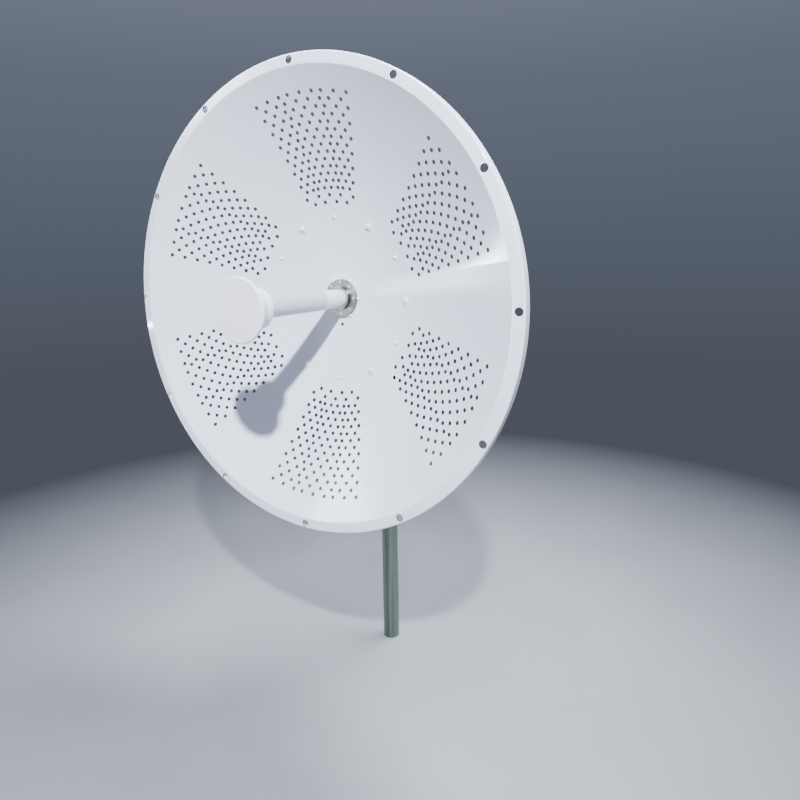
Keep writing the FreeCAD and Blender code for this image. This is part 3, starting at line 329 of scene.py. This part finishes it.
class Look:
    """A procedural material built round one Principled shader."""

    def __init__(self, name, colour, roughness, metallic=0.0, **constants):
        self.material = bpy.data.materials.new(name)
        self.material.use_nodes = True
        self.tree = self.material.node_tree
        self.shader = self.tree.nodes["Principled BSDF"]
        self.colour, self.roughness = colour, roughness
        self.set(self.shader, {"Base Color": (*colour, 1), "Roughness": roughness,
                               "Metallic": metallic, **constants})
        self.place = self.add("ShaderNodeTexCoord").outputs["Object"]
        self.bump = None

    def set(self, node, values):
        for socket, value in values.items():
            node.inputs[socket].default_value = value

    def add(self, kind, values=None, links=None, **properties):
        node = self.tree.nodes.new(kind)
        for key, value in properties.items():
            setattr(node, key, value)
        self.set(node, values or {})
        for socket, source in (links or {}).items():
            self.tree.links.new(source, node.inputs[socket])
        return node

    def noise(self, scale, detail=3.0, stretch=None):
        """Noise over the piece; stretch scales the three directions."""
        place = self.place
        if stretch:
            place = self.add("ShaderNodeMapping", {"Scale": stretch}, {"Vector": place}).outputs[0]
        return self.add("ShaderNodeTexNoise",
                        {"Scale": scale, "Detail": detail, "Roughness": 0.55},
                        {"Vector": place}).outputs["Fac"]

    def rings(self, centre, keep, scale, detail):
        """Noise that depends only on the distance from an axis, as a lathe leaves."""
        moved = self.add("ShaderNodeVectorMath", operation="SUBTRACT")
        self.tree.links.new(self.place, moved.inputs[0])
        moved.inputs[1].default_value = centre
        flat = self.add("ShaderNodeVectorMath", operation="MULTIPLY")
        self.tree.links.new(moved.outputs[0], flat.inputs[0])
        flat.inputs[1].default_value = keep
        length = self.add("ShaderNodeVectorMath", operation="LENGTH")
        self.tree.links.new(flat.outputs[0], length.inputs[0])
        return self.add("ShaderNodeTexNoise", {"Scale": scale, "Detail": detail},
                        {"W": length.outputs["Value"]}, noise_dimensions="1D").outputs["Fac"]

    def spread(self, source, low, high, start=0.3, end=0.7):
        return self.add("ShaderNodeMapRange", {"From Min": start, "From Max": end,
                                               "To Min": low, "To Max": high},
                        {"Value": source}).outputs["Result"]

    def tint(self, source, other, start=0.35, end=0.65):
        """Blend the colour towards another one where the source is high."""
        into = self.shader.inputs["Base Color"]
        mix = self.add("ShaderNodeMix", data_type="RGBA")
        self.tree.links.new(self.spread(source, 0.0, 1.0, start, end), mix.inputs[0])
        if into.is_linked:
            self.tree.links.new(into.links[0].from_socket, mix.inputs[6])
        else:
            mix.inputs[6].default_value = (*self.colour, 1)
        mix.inputs[7].default_value = (*other, 1)
        self.tree.links.new(mix.outputs[2], into)
        return self

    def rough(self, source, change):
        self.tree.links.new(self.spread(source, self.roughness - change, self.roughness + change),
                            self.shader.inputs["Roughness"])
        return self

    def relief(self, source, distance, strength):
        """Add a bump layer whose full height is a distance in metres."""
        links = {"Height": source}
        if self.bump:
            links["Normal"] = self.bump
        self.bump = self.add("ShaderNodeBump", {"Strength": strength, "Distance": distance},
                             links).outputs["Normal"]
        self.tree.links.new(self.bump, self.shader.inputs["Normal"])
        return self

    def spun(self, amount):
        """Stretch highlights across fine grooves that circle the piece's own middle."""
        self.set(self.shader, {"Anisotropic": amount, "Anisotropic Rotation": 0.25})
        tangent = self.add("ShaderNodeTangent", direction_type="RADIAL", axis="Y")
        self.tree.links.new(tangent.outputs[0], self.shader.inputs["Tangent"])
        return self


DISH_CENTRE = (0, 0, AXIS_Z)
ABOUT_DISH = (1, 0, 1)


def painted_sheet():
    look = Look("painted_sheet", (0.73, 0.765, 0.865), roughness=0.1, IOR=1.5)
    look.tint(look.noise(9, 4), (0.715, 0.75, 0.855))
    look.rough(look.noise(60, 3), change=0.004)
    look.relief(look.rings(DISH_CENTRE, ABOUT_DISH, 1400, 2), distance=0.00002, strength=0.35)
    look.relief(look.noise(500, 2), distance=0.000004, strength=0.3)
    return look.spun(1.0).material


def painted_tube():
    look = Look("painted_tube", (0.72, 0.735, 0.78), roughness=0.3)
    look.tint(look.noise(30, 3, (1, 0.2, 1)), (0.67, 0.69, 0.74))
    look.rough(look.noise(120), change=0.05)
    return look.relief(look.noise(1100, 2), distance=0.00002, strength=0.3).material


def white_plastic():
    look = Look("white_plastic", (0.80, 0.77, 0.90), roughness=0.36)
    look.tint(look.noise(25, 3), (0.775, 0.745, 0.88))
    look.rough(look.noise(200), change=0.04)
    return look.relief(look.noise(2600, 2), distance=0.00002, strength=0.35).material


def sleeve_plastic():
    look = Look("sleeve_plastic", (0.50, 0.52, 0.57), roughness=0.42)
    look.tint(look.noise(260, 5), (0.41, 0.43, 0.48), start=0.4, end=0.75)
    look.rough(look.noise(180), change=0.05)
    return look.relief(look.noise(700, 3), distance=0.00008, strength=0.5).material


def bare_aluminium():
    look = Look("bare_aluminium", (0.27, 0.28, 0.27), roughness=0.3, metallic=1.0)
    look.tint(look.noise(60, 3), (0.24, 0.25, 0.24))
    look.rough(look.noise(200), change=0.03)
    look.relief(look.noise(420, 2), distance=0.000005, strength=0.3)
    return look.spun(0.4).material


def housing_aluminium():
    look = Look("housing_aluminium", (0.72, 0.73, 0.75), roughness=0.34, metallic=1.0)
    look.tint(look.noise(90, 4), (0.63, 0.64, 0.66))
    look.rough(look.noise(400), change=0.06)
    return look.relief(look.noise(900, 3, (1, 8, 1)), distance=0.00003, strength=0.4).material


def polished_steel():
    # Base colour darkened and greened below real steel: a painted reflection of dark green
    # surroundings, not the steel's own tone.
    look = Look("polished_steel", (0.11, 0.14, 0.108), roughness=0.1, metallic=1.0)
    # Lighter vertical streaks: painted reflections of bright stripes running along the tube.
    look.tint(look.noise(70, 4, (1, 1, 0.02)), (0.19, 0.235, 0.20), start=0.45, end=0.62)
    look.rough(look.noise(90), change=0.04)
    return look.relief(look.noise(900, 3, (1, 1, 0.02)), distance=0.00002, strength=0.3).material


def black_plastic():
    look = Look("black_plastic", (0.03, 0.031, 0.034), roughness=0.5)
    look.tint(look.noise(80, 3), (0.045, 0.046, 0.05))
    look.rough(look.noise(200), change=0.06)
    return look.relief(look.noise(1500, 2), distance=0.00005, strength=0.5).material


def galvanised_steel():
    """Zinc spangle: patches of slightly different grey and gloss."""
    look = Look("galvanised_steel", (0.60, 0.62, 0.64), roughness=0.42, metallic=1.0)
    cells = look.add("ShaderNodeTexVoronoi", {"Scale": 130, "Randomness": 1.0},
                     {"Vector": look.place}).outputs["Color"]
    grey = look.add("ShaderNodeRGBToBW", {}, {"Color": cells}).outputs[0]
    look.tint(grey, (0.46, 0.485, 0.51), start=0.2, end=0.8)
    look.rough(grey, change=0.09)
    look.tint(look.noise(14, 5), (0.68, 0.70, 0.71), start=0.5, end=0.8)
    return look.relief(look.noise(700, 3), distance=0.00005, strength=0.35).material


def rubber_seal():
    look = Look("rubber_seal", (0.025, 0.025, 0.026), roughness=0.7)
    look.tint(look.noise(120, 3), (0.04, 0.04, 0.041))
    look.rough(look.noise(300), change=0.06)
    return look.relief(look.noise(1600, 2), distance=0.00005, strength=0.5).material


def dielectric():
    look = Look("dielectric", (0.84, 0.84, 0.80), roughness=0.45)
    look.tint(look.noise(60, 3), (0.79, 0.79, 0.75))
    look.rough(look.noise(200), change=0.05)
    return look.relief(look.noise(1200, 2), distance=0.00003, strength=0.4).material


def plated_connector():
    look = Look("plated_connector", (0.74, 0.73, 0.70), roughness=0.2, metallic=1.0)
    look.tint(look.noise(150, 4), (0.64, 0.63, 0.61))
    look.rough(look.noise(500), change=0.05)
    return look.relief(look.noise(1500, 2), distance=0.00002, strength=0.3).material


def brass_pin():
    look = Look("brass_pin", (0.78, 0.60, 0.27), roughness=0.2, metallic=1.0)
    look.tint(look.noise(200, 3), (0.68, 0.50, 0.21))
    look.rough(look.noise(500), change=0.05)
    return look.relief(look.noise(1500, 2), distance=0.00002, strength=0.3).material


def stainless_fastener():
    look = Look("stainless_fastener", (0.70, 0.70, 0.71), roughness=0.24, metallic=1.0)
    look.tint(look.noise(160, 4), (0.58, 0.58, 0.59))
    look.rough(look.noise(400), change=0.07)
    return look.relief(look.noise(1200, 3), distance=0.00003, strength=0.35).material


def painted_fastener():
    look = Look("painted_fastener", (0.78, 0.79, 0.83), roughness=0.22)
    look.tint(look.noise(90, 3), (0.73, 0.74, 0.79))
    look.rough(look.noise(300), change=0.05)
    return look.relief(look.noise(1400, 2), distance=0.00002, strength=0.4).material


MAKERS = (painted_sheet, painted_tube, white_plastic, bare_aluminium, housing_aluminium,
          polished_steel, black_plastic, galvanised_steel, rubber_seal, dielectric,
          plated_connector, brass_pin, stainless_fastener, sleeve_plastic,
          painted_fastener)
LOOKS = {maker.__name__: maker() for maker in MAKERS}

# Nodes whose look is not that of their material: fasteners in the front of the dish
# wear its paint, and the sleeve is a greyer plastic than the lid and the cup.
PAINTED = {"dish_bolts": "painted_fastener", "dish_washers": "painted_fastener",
           "dish_rivets": "painted_fastener", "hub_plate_screws": "painted_fastener",
           "feed_sleeve": "sleeve_plastic"}


def dress(piece, look):
    piece.data.materials.clear()
    piece.data.materials.append(LOOKS[look])


# ---- Camera, light and floor ---------------------------------------------------------

CAMERA_PLACE = (0.7918, -1.2577, 0.9484)
HEADING, PITCH, ROLL = 32.444, -8.381, -1.007       # degrees, from looking along +Y
LENS, SENSOR = 28.99, 36.0
SHIFT = (0.0201, -0.0696)
COOL = (0.89, 0.945, 1.0)                           # colour of every light
FLOOR_RADIUS = 1.9
FLOOR_CLEAR = 0.5                                   # radius inside which it is solid
FLOOR_SIDES = 96


def make_camera():
    data = bpy.data.cameras.new("camera")
    data.sensor_width = SENSOR
    data.lens = LENS
    data.shift_x, data.shift_y = SHIFT
    camera = bpy.data.objects.new("camera", data)
    heading = Matrix.Rotation(math.radians(HEADING), 4, "Z")
    pitch = Matrix.Rotation(math.radians(90 + PITCH), 4, "X")
    roll = Matrix.Rotation(math.radians(ROLL), 4, "Z")
    camera.matrix_world = Matrix.Translation(CAMERA_PLACE) @ heading @ pitch @ roll
    bpy.context.scene.collection.objects.link(camera)
    bpy.context.scene.camera = camera


def area_light(name, direction, distance, size, power, only_gloss=False, roll=0):
    """A soft box, width by height, that faces the dish from a direction in the row frame."""
    data = bpy.data.lights.new(name, "AREA")
    data.energy, data.color = power, COOL
    data.shape = "RECTANGLE"
    data.size, data.size_y = size
    light = bpy.data.objects.new(name, data)
    target = Vector((0, VERTEX_Y, AXIS_Z))
    away = Vector(direction).normalized()
    light.location = target + away * distance
    light.rotation_euler = away.to_track_quat("Z", "Y").to_euler()
    light.rotation_euler.rotate_axis("Z", math.radians(roll))
    if only_gloss:
        light.visible_diffuse = data.use_shadow = False
    bpy.context.scene.collection.objects.link(light)


def make_world():
    world = bpy.data.worlds.new("studio")
    bpy.context.scene.world = world
    world.use_nodes = True
    tree = world.node_tree
    background = tree.nodes["Background"]
    place = tree.nodes.new("ShaderNodeTexCoord")
    split = tree.nodes.new("ShaderNodeSeparateXYZ")
    ramp = tree.nodes.new("ShaderNodeValToRGB")
    shift = tree.nodes.new("ShaderNodeMapRange")
    shift.inputs["From Min"].default_value, shift.inputs["From Max"].default_value = -1, 1
    tree.links.new(place.outputs["Generated"], split.inputs[0])
    tree.links.new(split.outputs["Z"], shift.inputs["Value"])
    tree.links.new(shift.outputs["Result"], ramp.inputs[0])
    tree.links.new(ramp.outputs[0], background.inputs["Color"])
    stops = ((0.0, (0.07, 0.075, 0.09)), (0.42, (0.08, 0.09, 0.115)), (0.5, (0.095, 0.112, 0.15)),
             (0.62, (0.13, 0.15, 0.20)), (1.0, (0.42, 0.46, 0.56)))
    while len(ramp.color_ramp.elements) < len(stops):
        ramp.color_ramp.elements.new(0.5)
    for element, (at, colour) in zip(ramp.color_ramp.elements, stops):
        element.position, element.color = at, (*colour, 1)
    background.inputs["Strength"].default_value = 1.0


def make_floor():
    """A pale round floor that fades out, so that nothing but the object draws the eye."""
    mesh = bpy.data.meshes.new("floor")
    ring = [(x, y, 0) for x, y in circle(FLOOR_RADIUS, FLOOR_SIDES)]
    mesh.from_pydata(ring, [], [tuple(range(FLOOR_SIDES))])
    floor = bpy.data.objects.new("floor", mesh)
    bpy.context.scene.collection.objects.link(floor)
    look = Look("floor", (0.22, 0.228, 0.25), roughness=0.55)
    look.tint(look.noise(3, 3), (0.205, 0.213, 0.235))
    length = look.add("ShaderNodeVectorMath", operation="LENGTH")
    look.tree.links.new(look.place, length.inputs[0])
    fade = look.spread(length.outputs["Value"], 1.0, 0.0, FLOOR_CLEAR, FLOOR_RADIUS * 0.97)
    look.tree.links.new(fade, look.shader.inputs["Alpha"])
    mesh.materials.append(look.material)


# ---- The model ----------------------------------------------------------------------

make_camera()
make_world()
make_floor()
area_light("key", (0.453, -0.646, 0.615), distance=3.0, size=(0.12, 0.12), power=330)
area_light("fill", (-0.50, -0.58, -0.10), distance=3.0, size=(1.3, 1.3), power=14)
area_light("top", (0.15, 0.25, 0.95), distance=2.4, size=(0.9, 0.9), power=240)
area_light("back", (0.3, 0.8, 0.5), distance=3.2, size=(1.8, 1.8), power=18)
area_light("lamp", (-0.897, -0.425, -0.119), distance=2.6, size=(1.9, 0.025), power=22,
           only_gloss=True, roll=3)
area_light("window", (-0.71, -0.42, 0.51), distance=3.0, size=(1.7, 1.7), power=230,
           only_gloss=True)

skin = build_reflector()
dress(skin, "painted_sheet")
for part in frame["record"]["subparts"]:
    name = part["node"]
    dress(frame["nodes"][name], PAINTED.get(name, part["material_slot"]))
